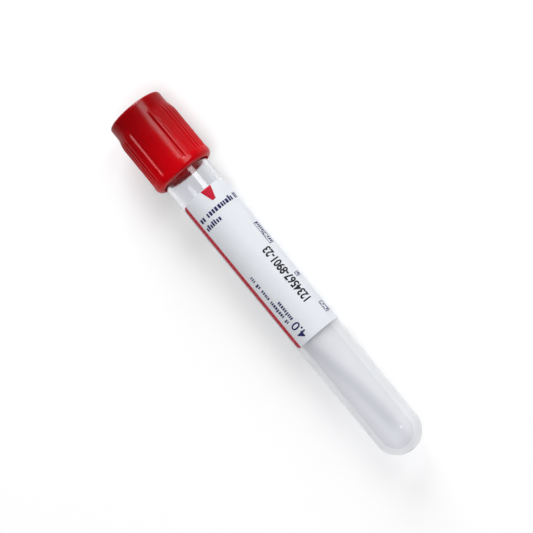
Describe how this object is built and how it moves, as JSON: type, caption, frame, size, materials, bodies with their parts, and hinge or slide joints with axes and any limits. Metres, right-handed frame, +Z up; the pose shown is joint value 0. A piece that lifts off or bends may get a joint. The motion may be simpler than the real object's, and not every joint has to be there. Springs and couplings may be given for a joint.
{
  "type": "blood collection tube",
  "caption": "Clear round-bottomed plastic tube with a ribbed red safety closure over a rubber stopper and a wrapped paper label, lying on its side.",
  "frame": {"origin": "on the surface that the tube lies on, under the middle of the whole object's box", "axes": "+X towards the round bottom and -X towards the closure, within 1.3 degrees of the tube's axis; +Y across the tube, through a ribbed lobe; +Z up"},
  "size_m": [0.1104, 0.017, 0.0163],
  "materials": {
    "clear_pet": "clear, as moulded",
    "red_butyl_rubber": "dull, moulded",
    "red_moulded_plastic": "satin, moulded",
    "label_paper": "smooth coated paper"
  },
  "bodies": {
    "tube_body": {"tube": "clear_pet", "label": "label_paper"},
    "closure": {"safety_shield": "red_moulded_plastic", "rubber_stopper": "red_butyl_rubber"}
  },
  "joints": [
    {"name": "closure_pull", "type": "slide", "parent": "tube_body", "child": "closure", "axis": [-0.9998, 0, 0.0221], "range_m": [0, 0.04]}
  ]
}
